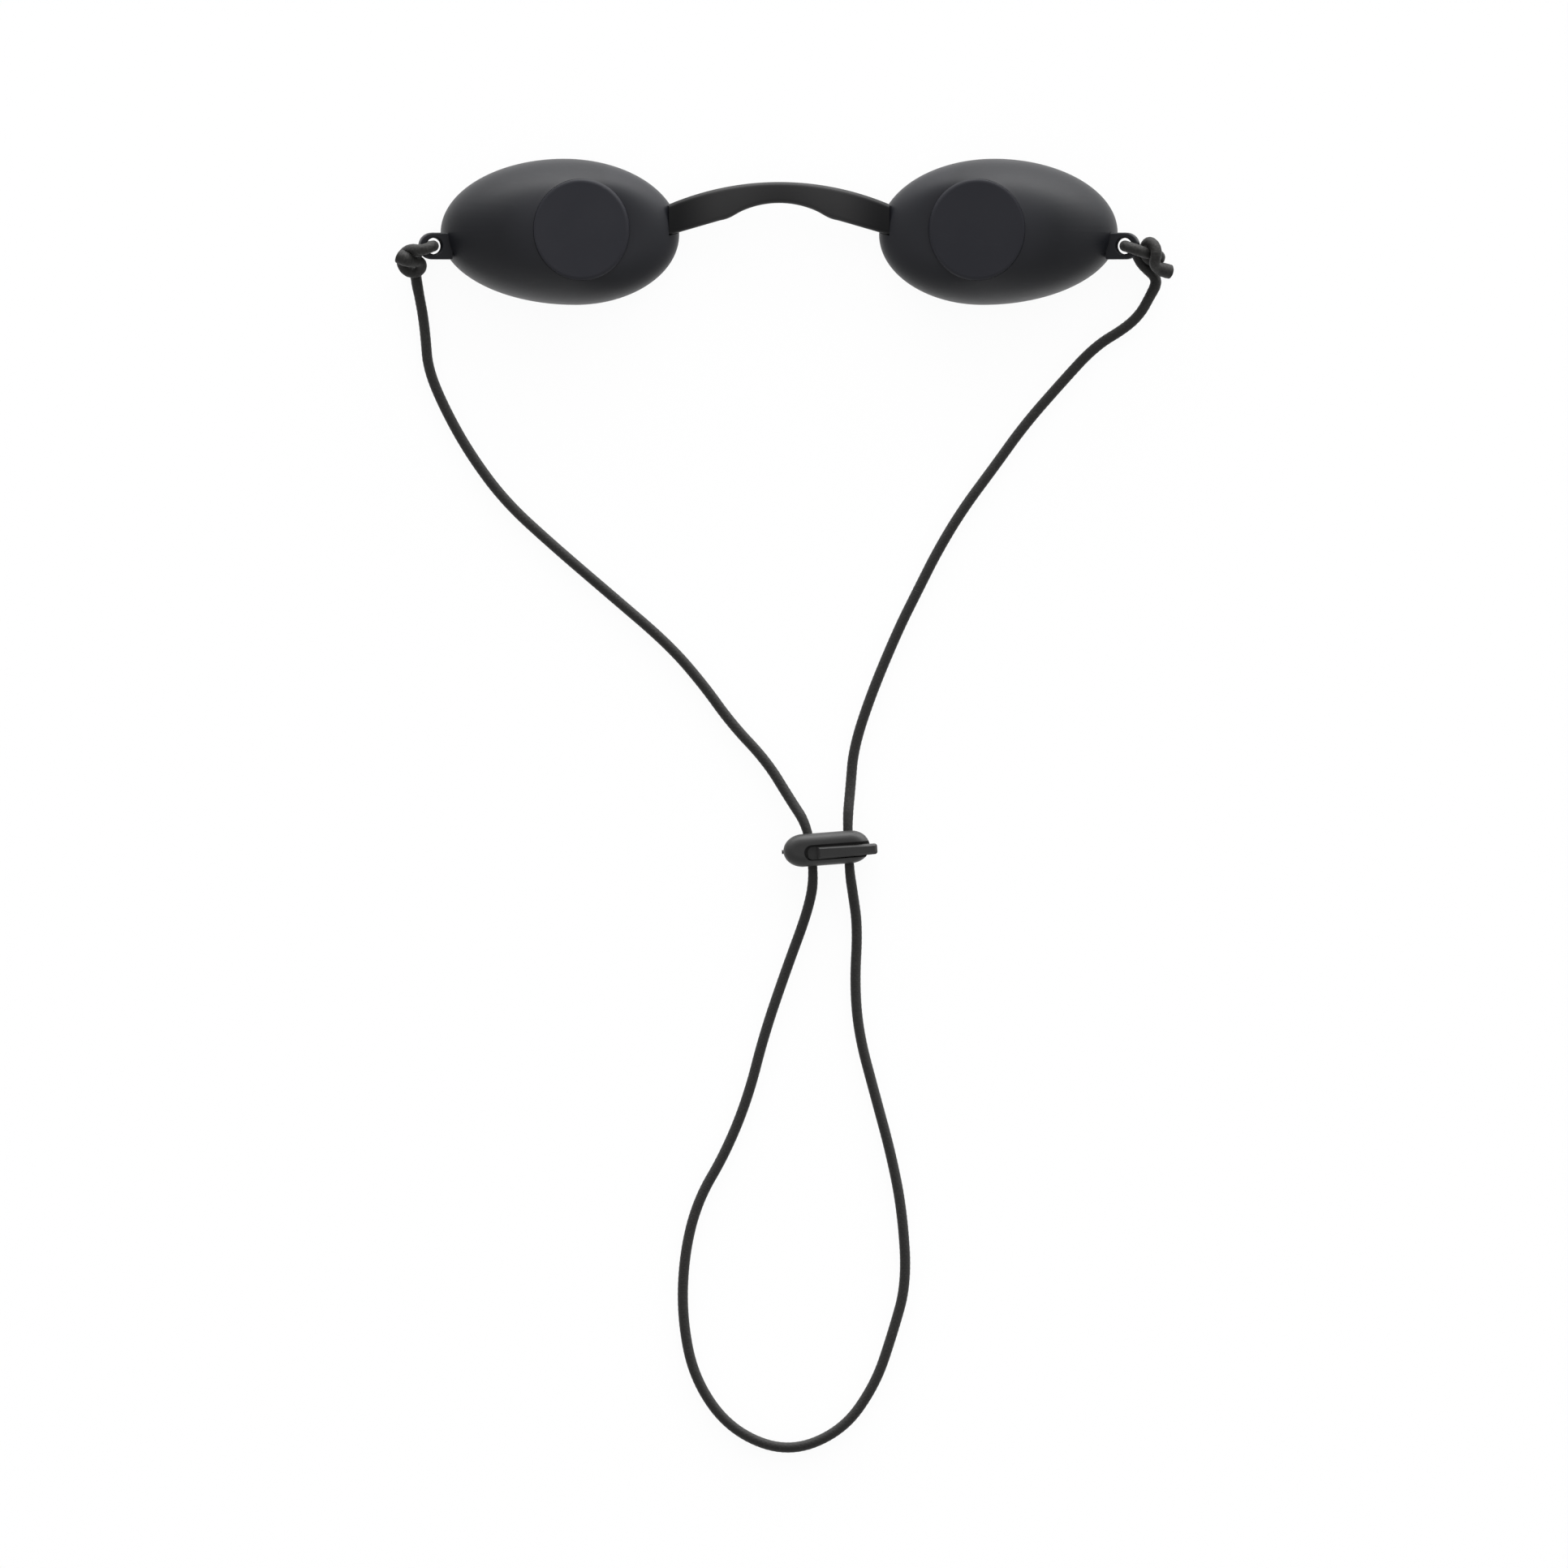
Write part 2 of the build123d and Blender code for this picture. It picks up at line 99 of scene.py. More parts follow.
# Nose bridge, as its solid is sized
bridge_end = 21.3 * mm
bridge_end_height = 2.7 * mm
bridge_thickness = 2.6 * mm
bridge_rise = 2.2 * mm
bridge_round = 0.9 * mm
bridge_round_steps = 5
bridge_top = 9.58 * mm
bridge_top_end = 5.3 * mm
bridge_arch_top = 5.5 * mm
bridge_arch_foot = 2.7 * mm
bridge_arch_half = 9.5 * mm
bridge_low_end = -0.7 * mm
bridge_corner = 2.2 * mm
bridge_station = 0.71 * mm
tongue_length = 1.7 * mm
tongue_middle = 1.4 * mm
tongue_width = 2.6 * mm
tongue_thickness = 1.3 * mm
corner_angle = math.radians(60)
smooth_angle = math.radians(35)

# Spring in the lock
lock_middle = (9.2 * mm, -119.3 * mm)
lock_turn = math.radians(4.4)
spring_height = 3.5 * mm
spring_start = -6.95 * mm
spring_end = -5.15 * mm
spring_radius = 1.25 * mm
spring_turns = 3
spring_turn_steps = 48
wire_radius = 0.15 * mm
wire_sides = 12
quarter_turn = math.radians(90)

# Places in millimetres that the cord follows, from the lock up to each knot, and round the loop
left_lower_route = [
    (6.11, -119.54, 3.5),
    (5.6, -115.1, 3.5),
    (2.0, -109.6, 1.6),
    (-2.4, -102.4, 1.05),
    (-9.2, -95.2, 1.05),
    (-14.8, -87.4, 1.05),
    (-21.4, -79.8, 1.05),
]
left_upper_route = [
    (-32.5, -70.3, 1.05),
    (-43.6, -60.8, 1.05),
    (-53.0, -52.2, 1.05),
    (-59.8, -43.0, 1.05),
    (-64.6, -34.4, 1.05),
    (-67.9, -26.6, 1.05),
    (-68.4, -20.2, 1.05),
    (-68.92, -15.94, 1.1),
    (-69.6, -12.4, 1.1),
]
left_knot_route = [
    (-70.1, -9.8, 1.1),
    (-70.5, -6.8, 1.05),
    (-70.2, -4.3, 1.2),
    (-68.9, -3.0, 1.5),
    (-67.3, -2.8, 2.05),
    (-66.85, -2.8, 3.25),
    (-66.85, -2.8, 6.55),
    (-67.4, -3.1, 8.1),
    (-69.2, -3.7, 8.45),
    (-71.3, -3.35, 6.1),
    (-72.8, -4.4, 3.8),
    (-73.0, -6.3, 3.45),
    (-71.9, -7.75, 3.4),
    (-70.2, -8.0, 3.1),
    (-69.05, -7.0, 3.65),
    (-69.35, -5.75, 4.75),
    (-70.9, -5.8, 6.25),
    (-72.2, -5.4, 7.2),
    (-73.45, -4.8, 6.75),
]
right_lower_route = [
    (13.39, -118.98, 3.5),
    (13.15, -114.23, 3.5),
    (13.8, -107.4, 1.3),
    (14.4, -99.8, 1.05),
    (17.8, -89.4, 1.05),
    (23.0, -77.0, 1.05),
]
right_upper_route = [
    (26.8, -69.4, 1.05),
    (30.6, -61.8, 1.05),
    (35.4, -53.8, 1.05),
    (41.8, -45.2, 1.05),
    (47.4, -37.4, 1.05),
    (54.4, -29.4, 1.05),
    (61.0, -22.2, 1.05),
    (67.0, -18.6, 1.05),
    (69.94, -15.77, 1.1),
    (71.65, -12.6, 1.1),
]
right_knot_route = [
    (72.95, -10.2, 1.1),
    (72.7, -8.6, 1.1),
    (71.1, -7.2, 1.15),
    (69.85, -5.85, 1.05),
    (69.0, -3.9, 1.35),
    (67.5, -2.9, 1.85),
    (66.85, -2.8, 3.25),
    (66.85, -2.8, 6.55),
    (67.4, -3.0, 8.1),
    (69.3, -3.65, 8.45),
    (71.15, -4.25, 6.1),
    (73.75, -4.55, 4.75),
    (73.35, -5.75, 2.9),
    (71.45, -5.5, 2.35),
    (70.55, -3.85, 3.15),
    (70.9, -2.4, 4.65),
    (71.85, -1.95, 6.5),
    (72.9, -3.2, 7.55),
    (72.85, -4.95, 7.85),
    (72.45, -6.5, 6.55),
    (73.6, -7.3, 4.9),
    (75.5, -7.75, 3.9),
]
loop_route = [
    (6.11, -119.54, 3.5),
    (6.85, -124.29, 3.5),
    (5.7, -131.0, 1.6),
    (1.4, -142.6, 1.05),
    (-2.9, -155.2, 1.05),
    (-6.0, -167.4, 1.05),
    (-10.4, -178.2, 1.05),
    (-15.8, -187.4, 1.05),
    (-18.4, -198.0, 1.05),
    (-18.8, -210.0, 1.05),
    (-16.4, -222.0, 1.05),
    (-9.4, -231.8, 1.05),
    (1.6, -236.2, 1.05),
    (12.2, -232.0, 1.05),
    (18.6, -223.0, 1.05),
    (21.9, -213.2, 1.05),
    (24.7, -203.2, 1.05),
    (23.8, -189.4, 1.05),
    (21.7, -178.6, 1.05),
    (18.5, -166.8, 1.05),
    (15.4, -155.2, 1.05),
    (14.6, -145.4, 1.05),
    (15.2, -134.6, 1.05),
    (14.2, -127.6, 2.4),
    (13.6, -123.73, 3.5),
    (13.39, -118.98, 3.5),
]


# ---------------------------------------------------------------- camera


def add_camera():
    """Looks straight down on the goggles, from far enough to be nearly free of perspective."""
    data = bpy.data.cameras.new("camera")
    data.sensor_width = sensor_width
    data.lens = sensor_width * camera_height / picture_width
    data.clip_start = nearest_seen
    data.clip_end = farthest_seen
    camera = bpy.data.objects.new("camera", data)
    bpy.context.scene.collection.objects.link(camera)
    camera.location = (*picture_middle, camera_height)
    bpy.context.scene.camera = camera


# ---------------------------------------------------------------- cord

ring_turns = np.arange(cord_sides) / cord_sides

Stretch = namedtuple("Stretch", "piece line length")


def eased(share):
    """A share from 0 to 1 that leaves and arrives gently."""
    return share * share * (3 - 2 * share)


def spline_line(name, route):
    """The smooth line that a route's points pull into shape, as an array of points."""
    data = bpy.data.curves.new(name, "CURVE")
    data.dimensions = "3D"
    data.resolution_u = curve_steps
    spline = data.splines.new("NURBS")
    spline.points.add(len(route) - 1)
    for point, place in zip(spline.points, route):
        point.co = (*(value * mm for value in place), 1)
    spline.order_u = 3
    spline.use_endpoint_u = True
    holder = bpy.data.objects.new(name, data)
    bpy.context.scene.collection.objects.link(holder)
    bpy.context.view_layer.update()
    mesh = bpy.data.meshes.new_from_object(holder)
    line = np.array([vertex.co for vertex in mesh.vertices])
    bpy.data.objects.remove(holder)
    bpy.data.curves.remove(data)
    bpy.data.meshes.remove(mesh)
    return line


def even_line(line):
    """The same line with its points a ring's step apart, and how far along it each one is."""
    steps = np.linalg.norm(np.diff(line, axis=0), axis=1)
    line = line[np.concatenate([[True], steps > same_place])]
    steps = np.linalg.norm(np.diff(line, axis=0), axis=1)
    along = np.concatenate([[0], np.cumsum(steps)])
    count = round(along[-1] / ring_step)
    places = np.linspace(0, along[-1], count + 1)
    points = [np.interp(places, along, line[:, i]) for i in range(3)]
    return np.stack(points, axis=1), places


def carried_frames(line):
    """The line's direction at each point, and two across it that never twist round it."""
    tangents = np.gradient(line, axis=0)
    tangents /= np.linalg.norm(tangents, axis=1, keepdims=True)
    across = np.zeros_like(line)
    across[0] = np.cross(tangents[0], (0, 0, 1))
    across[0] /= np.linalg.norm(across[0])
    for i in range(1, len(line)):
        turned = across[i - 1] - tangents[i] * np.dot(across[i - 1], tangents[i])
        across[i] = turned / np.linalg.norm(turned)
    return tangents, across, np.cross(tangents, across)


def weave_height(turn, along):
    """How high the braid's crossing strands stand, from 0 to 1."""
    first = strands * turn + along / pick / 2
    second = strands * turn - along / pick / 2
    over = np.where((np.floor(first) + np.floor(second)) % 2 == 0, 1, -1)
    across_first = np.abs(np.sin(np.pi * first))
    across_second = np.abs(np.sin(np.pi * second))
    level = 1 - crossing_dip
    rise_first = across_first**strand_fullness * (level + crossing_dip * over * across_second)
    rise_second = across_second**strand_fullness * (level - crossing_dip * over * across_first)
    return np.maximum(rise_first, rise_second)


def cord_radius(line, along, cut_end):
    """The cord's radius at each point of its rings.

    The lock pinches the cord. In the knot it is slack and squeezed, and so fuller than where
    it is drawn out, and its frayed end is the fullest.
    """
    height = weave_height(ring_turns[None, :], along[:, None])
    radius = cord_width / 2 + weave_depth * (height - weave_level)
    from_lock = np.linalg.norm(line - (*lock_middle, spring_height), axis=1)
    pinched = np.clip((pinch_reach - from_lock) / pinch_fade, 0, 1)
    radius *= (1 - pinch * pinched)[:, None]
    if cut_end:
        tied = np.clip((along - along[0]) / knot_fade, 0, 1)
        frayed = np.clip(1 - (along[-1] - frayed_length - along) / frayed_fade, 0, 1)
        radius *= (1 + knot_swell * tied + frayed_swell * eased(frayed))[:, None]
    return radius


def cord_rings(line, radius, frames, cut_end):
    """The cord's rings of points, and the middles of its two ends.

    A cut end, past the knot, is rounded off, as it is when it is sealed by heat.
    """
    tangents, across, above = frames
    angle = 2 * np.pi * ring_turns
    rings = line[:, None, :] + radius[:, :, None] * (
        np.cos(angle)[None, :, None] * across[:, None, :]
        + np.sin(angle)[None, :, None] * above[:, None, :]
    )
    middles = [line[0], line[-1]]
    if cut_end:
        spread = rings[-1] - line[-1]
        sealed = [
            line[-1] + spread * share + tangents[-1] * reach * mm for share, reach in sealed_rings
        ]
        rings = np.concatenate([rings, sealed])
        middles[1] = line[-1] + tangents[-1] * sealed_rings[-1][1] * mm
    return rings, middles


def cord_faces(count):
    """The faces of a tube of rings: its sides, then both ends, closed round their middles."""
    faces = []
    for i in range(count - 1):
        low, high = i * cord_sides, (i + 1) * cord_sides
        for j in range(cord_sides):
            k = (j + 1) % cord_sides
            faces.append((low + j, low + k, high + k, high + j))
    start_middle = count * cord_sides
    last = (count - 1) * cord_sides
    for j in range(cord_sides):
        k = (j + 1) % cord_sides
        faces.append((start_middle, k, j))
        faces.append((start_middle + 1, last + j, last + k))
    return faces


def unroll_cord(mesh, along):
    """A UV map that runs once round the cord in u, and in millimetres along it in v."""
    ring = np.repeat(np.arange(len(along) - 1), cord_sides)
    side = np.tile(np.arange(cord_sides), len(along) - 1)
    low, high = along[ring] / mm, along[ring + 1] / mm
    around = np.stack([side, side + 1, side + 1, side], axis=1) / cord_sides
    forward = np.stack([low, low, high, high], axis=1)
    tube = np.stack([around.ravel(), forward.ravel()], axis=1)
    ends = np.tile((0, along[-1] / mm), (2 * 3 * cord_sides, 1))
    layer = mesh.uv_layers.new(name="along_cord")
    layer.data.foreach_set("uv", np.concatenate([tube, ends]).ravel())


def cord_piece(name, line, along, frames, cut_end):
    """A braided tube round a line, closed at both ends."""
    radius = cord_radius(line, along, cut_end)
    rings, middles = cord_rings(line, radius, frames, cut_end)
    added = np.arange(1, len(rings) - len(line) + 1) * ring_step
    along = np.concatenate([along, along[-1] + added])
    points = np.concatenate([rings.reshape(-1, 3), middles])
    mesh = bpy.data.meshes.new(name)
    mesh.from_pydata(points.tolist(), [], cord_faces(len(rings)))
    unroll_cord(mesh, along)
    sides, ends = (len(rings) - 1) * cord_sides, 2 * cord_sides
    mesh.polygons.foreach_set("use_smooth", [True] * sides + [cut_end] * ends)
    mesh.update()
    mesh.validate()
    piece = bpy.data.objects.new(name, mesh)
    bpy.context.scene.collection.objects.link(piece)
    return piece


def cord_stretches(route, splits, names, cut_end):
    """One smooth cord, cut at the points nearest to the places where it is split.

    The names are those of each stretch's piece and of the node that it stands for.
    """
    line, along = even_line(spline_line(names[0][0], route))
    frames = carried_frames(line)
    cuts = [0]
    for place in splits:
        distance = np.linalg.norm(line - np.array(place) * mm, axis=1)
        cuts.append(int(distance.argmin()))
    cuts.append(len(line) - 1)
    stretches = []
    for (name, node), start, end in zip(names, cuts, cuts[1:]):
        part = slice(start, end + 1)
        last = cut_end and end == len(line) - 1
        part_frames = [directions[part] for directions in frames]
        piece = cord_piece(name, line[part], along[part], part_frames, last)
        paint(piece, cord_braid)
        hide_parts(node)
        stretches.append(Stretch(piece, line[part], along[end] - along[start]))
    return stretches


def make_cords():
    """The cord from each knot to the lock, in three stretches a side, and its loop."""
    for side, lower_route, upper_route, knot_route in (
        ("left", left_lower_route, left_upper_route, left_knot_route),
        ("right", right_lower_route, right_upper_route, right_knot_route),
    ):
        lower, upper, knot = cord_stretches(
            lower_route + upper_route + knot_route,
            splits=(upper_route[0], upper_route[-1]),
            names=(
                (f"{side}_braid_lower", f"{side}_cord_lower"),
                (f"{side}_braid_upper", f"{side}_cord_upper"),
                (f"{side}_braid_knot", f"{side}_knot"),
            ),
            cut_end=True,
        )
        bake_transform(lower.piece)
        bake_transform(upper.piece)
        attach(knot.piece, f"{side}_eye")
    loop_names = (("braid_loop", "cord_loop"),)
    (loop,) = cord_stretches(loop_route, splits=(), names=loop_names, cut_end=False)
    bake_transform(loop.piece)


# ---------------------------------------------------------------- modelling by hand


def clear_selection():
    """Leaves edit mode and deselects everything, before a primitive is added."""
    if bpy.context.mode != "OBJECT":
        bpy.ops.object.mode_set(mode="OBJECT")
    bpy.ops.object.select_all(action="DESELECT")


def name_new_piece(name):
    """Names the primitive that was just added, and its mesh."""
    piece = bpy.context.active_object
    piece.name = name
    piece.data.name = name
    return piece


def settle_in_place():
    """Takes the selected piece's place, turn and size into its mesh."""
    bpy.ops.object.transform_apply(location=True, rotation=True, scale=True)


def select_where(piece, kind, wanted):
    """Selects the vertices, edges or faces that pass a test, in edit mode."""
    bpy.ops.mesh.select_mode(type=kind)
    bpy.ops.mesh.select_all(action="DESELECT")
    edited = bmesh.from_edit_mesh(piece.data)
    for part in {"VERT": edited.verts, "EDGE": edited.edges, "FACE": edited.faces}[kind]:
        if wanted(part):
            part.select = True
    bmesh.update_edit_mesh(piece.data)


# ---------------------------------------------------------------- nose bridge


def arc(x, top, half_width, rise):
    """An arc that is highest in the middle and lower by its rise at half its width."""
    radius = (half_width**2 + rise**2) / (2 * rise)
    return top - radius + math.sqrt(max(radius**2 - x**2, 0))


def bridge_top_edge(x):
    """The upper outline of the bridge in plan, one long arc."""
    return arc(x, bridge_top, bridge_end, bridge_top - bridge_top_end)


def bridge_low_edge(x):
    """The lower outline: an arch over the nose that runs out in two straight ends."""
    x = abs(x)
    arch = arc(x, bridge_arch_top, bridge_arch_half, bridge_arch_top - bridge_arch_foot)
    slope = (bridge_arch_foot - bridge_low_end) / (bridge_end - bridge_arch_half)
    line = bridge_arch_foot - (x - bridge_arch_half) * slope
    share = (x - bridge_arch_half + bridge_corner) / (2 * bridge_corner)
    share = eased(min(max(share, 0), 1))
    return arch * (1 - share) + line * share


def bridge_height(x):
    """The height of the middle of the bridge's thickness, one long arc."""
    return arc(x, bridge_end_height + bridge_rise, bridge_end, bridge_rise)


def runs_along_corner(edge):
    """Whether an edge of the bridge runs along it, at one of its sharp corners."""
    one, two = (vertex.co for vertex in edge.verts)
    if abs(one.x - two.x) <= bridge_station / 2 or len(edge.link_faces) != 2:
        return False
    return edge.calc_face_angle() > corner_angle


def closes_cup_end(face):
    """Whether a face of the bridge is the one that meets the cup."""
    return abs(face.calc_center_median().x) > bridge_end - bridge_station / 4


def draw_bridge_bar(piece, stations):
    """Cuts a straight bar at its stations, and draws each to its width, place and height."""
    for x in stations[1:-1]:
        bpy.ops.mesh.select_all(action="SELECT")
        bpy.ops.mesh.bisect(plane_co=(x, 0, 0), plane_no=(1, 0, 0))
    for x in stations:
        select_where(piece, "VERT", lambda vertex: abs(vertex.co.x - x) < bridge_station / 4)
        top, low = bridge_top_edge(x), bridge_low_edge(x)
        bpy.ops.transform.resize(value=(1, top - low, 1), center_override=(x, 0, 0))
        bpy.ops.transform.translate(value=(0, (top + low) / 2, bridge_height(x)))


def draw_tongue(piece, sign):
    """Draws the bridge's end in to a tongue, which goes into the cup's pocket."""
    select_where(piece, "FACE", closes_cup_end)
    bpy.ops.mesh.extrude_region_move(TRANSFORM_OT_translate={"value": (0, 0, 0)})
    width = bridge_top_end - bridge_low_end
    end_middle = (bridge_top_end + bridge_low_end) / 2
    bpy.ops.transform.resize(
        value=(1, tongue_width / width, tongue_thickness / bridge_thickness),
        center_override=(sign * bridge_end, end_middle, bridge_end_height),
    )
    bpy.ops.transform.translate(value=(0, tongue_middle - end_middle, 0))
    bpy.ops.mesh.extrude_region_move(
        TRANSFORM_OT_translate={"value": (sign * tongue_length, 0, 0)}
    )


def make_half_bridge(side):
    """Half of the soft bridge, from its middle into the cup, in one fixed shape."""
    sign = -1 if side == "left" else 1
    clear_selection()
    bpy.ops.mesh.primitive_cube_add(size=1, location=(sign * bridge_end / 2, 0, 0))
    piece = name_new_piece(f"{side}_bridge_half")
    piece.scale = (bridge_end, 1, bridge_thickness)
    settle_in_place()
    bpy.ops.object.mode_set(mode="EDIT")
    count = round(bridge_end / bridge_station)
    draw_bridge_bar(piece, [sign * bridge_end * step / count for step in range(count + 1)])
    select_where(piece, "EDGE", runs_along_corner)
    bpy.ops.mesh.bevel(
        offset=bridge_round, segments=bridge_round_steps, profile=0.5, affect="EDGES"
    )
    draw_tongue(piece, sign)
    bpy.ops.object.mode_set(mode="OBJECT")
    bpy.ops.object.shade_smooth_by_angle(angle=smooth_angle)
    paint(piece, bridge_rubber)
    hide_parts("nose_bridge")
    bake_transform(piece)


# ---------------------------------------------------------------- spring


def make_spring():
    """The coil spring in the lock, made at one length, though the real one shortens as the button
    is pressed.
    """
    clear_selection()
    bpy.ops.mesh.primitive_circle_add(
        vertices=wire_sides,
        radius=wire_radius,
        location=(spring_radius, 0, 0),
        rotation=(quarter_turn, 0, 0),
    )
    piece = name_new_piece("coil_spring")
    settle_in_place()
    screw = piece.modifiers.new("coil", "SCREW")
    screw.axis = "Z"
    screw.angle = math.tau
    screw.iterations = spring_turns
    screw.screw_offset = (spring_end - spring_start) / spring_turns
    screw.steps = spring_turn_steps
    screw.render_steps = spring_turn_steps
    screw.use_smooth_shade = True
    bpy.ops.object.modifier_apply(modifier="coil")
    bpy.ops.object.mode_set(mode="EDIT")
    bpy.ops.mesh.select_all(action="DESELECT")
    bpy.ops.mesh.select_mode(type="EDGE")
    bpy.ops.mesh.select_non_manifold(extend=False)
    bpy.ops.mesh.edge_face_add()
    bpy.ops.mesh.select_all(action="SELECT")
    bpy.ops.mesh.normals_make_consistent(inside=False)
    bpy.ops.object.mode_set(mode="OBJECT")
    # It is laid along x, and then turned and moved to where the lock lies
    piece.rotation_euler = (0, quarter_turn, 0)
    piece.location = (spring_start, 0, spring_height)
    settle_in_place()
    piece.rotation_euler = (0, 0, lock_turn)
    piece.location = (*lock_middle, 0)
    settle_in_place()
    paint(piece, spring_steel)
    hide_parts("lock_spring")
    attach(piece, "cord_lock")
    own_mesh(piece)


# ---------------------------------------------------------------- shader maths


class Value:
    """A node's output, to which Python's operators add Math nodes."""

    def __init__(self, finish, socket):
        self.finish = finish
        self.socket = socket

    def __add__(self, other):
        return self.finish.work_out("ADD", self, other)

    def __sub__(self, other):
        return self.finish.work_out("SUBTRACT", self, other)

    def __rsub__(self, other):
        return self.finish.work_out("SUBTRACT", other, self)

    def __mul__(self, other):
        return self.finish.work_out("MULTIPLY", self, other)

    def __pow__(self, other):
        return self.finish.work_out("POWER", self, other)

    __radd__ = __add__
    __rmul__ = __mul__

    def sine(self):
        return self.finish.work_out("SINE", self)

    def size(self):
        return self.finish.work_out("ABSOLUTE", self)

    def most(self, other):
        return self.finish.work_out("MAXIMUM", self, other)

    def ramp(self, start, end):
        """0 before the start, 1 past the end and smooth between; it may run downwards."""
        smooth = {"interpolation_type": "SMOOTHSTEP"}
        sockets = {"Value": self, "From Min": start, "From Max": end}
        return self.finish.node("ShaderNodeMapRange", smooth, sockets)["Result"]


class Finish:
    """The nodes of a material, or of the world."""

    def __init__(self, owner):
        self.owner = owner
        owner.use_nodes = True
        self.tree = owner.node_tree
        self.tree.nodes.clear()

    def node(self, kind, settings=None, sockets=None):
        """Adds a node: its settings first, then its sockets' values or links.

        Sockets go by their place or their identifier. The outputs come back as values.
        """
        node = self.tree.nodes.new(kind)
        for name, value in (settings or {}).items():
            setattr(node, name, value)
        found = {socket.identifier: socket for socket in node.inputs}
        found.update(enumerate(node.inputs))
        for key, value in (sockets or {}).items():
            socket = found[key]
            if isinstance(value, Value):
                self.tree.links.new(value.socket, socket)
            elif socket.type == "RGBA":
                socket.default_value = (*value, 1)
            else:
                socket.default_value = value
        return {socket.identifier: Value(self, socket) for socket in node.outputs}

    def work_out(self, operation, *inputs):
        """A Math node on one or two values or numbers."""
        settings = {"operation": operation}
        return self.node("ShaderNodeMath", settings, dict(enumerate(inputs)))["Value"]

    def split(self, vector):
        """A vector's three parts."""
        parts = self.node("ShaderNodeSeparateXYZ", None, {"Vector": vector})
        return parts["X"], parts["Y"], parts["Z"]

    def mix(self, share, first, second):
        """One colour passing into another."""
        sockets = {"Factor_Float": share, "A_Color": first, "B_Color": second}
        return self.node("ShaderNodeMix", {"data_type": "RGBA"}, sockets)["Result_Color"]

    def place(self):
        """The place on the object, in millimetres."""
        sockets = {"Vector": self.node("ShaderNodeTexCoord")["Object"], "Scale": 1 / mm}
        return self.node("ShaderNodeVectorMath", {"operation": "SCALE"}, sockets)["Vector"]

    def stretched(self, place, scale):
        """The place, scaled so that a pattern comes out longer where its scale is small."""
        return self.node("ShaderNodeMapping", None, {"Vector": place, "Scale": scale})["Vector"]

    def noise(self, place, scale, detail, roughness):
        sockets = {"Vector": place, "Scale": scale, "Detail": detail, "Roughness": roughness}
        return self.node("ShaderNodeTexNoise", None, sockets)["Fac"]

    def bump(self, height, distance, strength):
        sockets = {"Height": height, "Distance": distance, "Strength": strength}
        return self.node("ShaderNodeBump", None, sockets)["Normal"]

    def surface(self, sockets):
        """Ends a material in its shader."""
        shader = self.node("ShaderNodeBsdfPrincipled", None, sockets)["BSDF"]
        self.node("ShaderNodeOutputMaterial", None, {"Surface": shader})


def new_finish(name):
    """The bare nodes of a new material, named as the finish is."""
    return Finish(bpy.data.materials.new(name))


def paint(piece, finish):
    """Gives a piece its finish, in the slots that it has or in a new one."""
    if not piece.material_slots:
        piece.data.materials.append(finish.owner)
    for slot in piece.material_slots:
        slot.material = finish.owner


# ---------------------------------------------------------------- mouldings

# The cup's painted sheen about its window, a paler colour that stands in for light, in
# millimetres from the window's middle: where it fades away all round and above, and where it
# gathers on the nose's side
window_middle = 38.0
sheen_fades = (10.0, 16.5)
sheen_fades_above = (4.0, 9.5)
sheen_gathers_inwards = (3.0, 8.0)
sheen_gathers_upwards = (-13.0, 4.0)
inner_sheen_share = 1.8
window_sheen_tone = (0.0146, 0.0152, 0.0190)

# The bridge's painted sheen off its middle, and painted shade at its dark ends, in millimetres
# from its middle
bridge_sheen_gathers = (0.0, 8.0)
bridge_sheen_fades = (11.0, 20.5)
bridge_sheen_least = 0.7
bridge_sheen_tone = (0.0272, 0.0268, 0.0276)

# Dust and rub marks on a moulding: how much paler they are, and how much of them shows
dust_gain = 1.9
dust_lift = 0.004
dust_share = 0.16
rub_share = 0.10
rub_stretch = (0.35, 2.6, 1.0)

# How far clouds, grain and rub marks shift a moulding's roughness
cloud_shine = 0.08
grain_shine = 0.05
rub_shine = 0.05
grain_strength = 0.35


def painted_window_sheen(finish, place):
    """The cup's painted sheen about its window and on its nose's side, which it fades into on
    both sides.
    """
    x, y, _ = finish.split(place)
    aside = x.size() - window_middle
    away = (aside * aside + y * y) ** 0.5
    level = (1 - away.ramp(*sheen_fades)) * (1 - y.size().ramp(*sheen_fades_above))
    inner = (aside * -1).ramp(*sheen_gathers_inwards) * y.ramp(*sheen_gathers_upwards)
    return level.most(inner * inner_sheen_share), window_sheen_tone


def painted_bridge_sheen(finish, place):
    """The bridge's painted sheen: palest off the middle, and none at its ends, which stay dark as
    painted shade.
    """
    x, _, _ = finish.split(place)
    aside = x.size()
    gathered = aside.ramp(*bridge_sheen_gathers) * (1 - bridge_sheen_least) + bridge_sheen_least
    return (1 - aside.ramp(*bridge_sheen_fades)) * gathered, bridge_sheen_tone


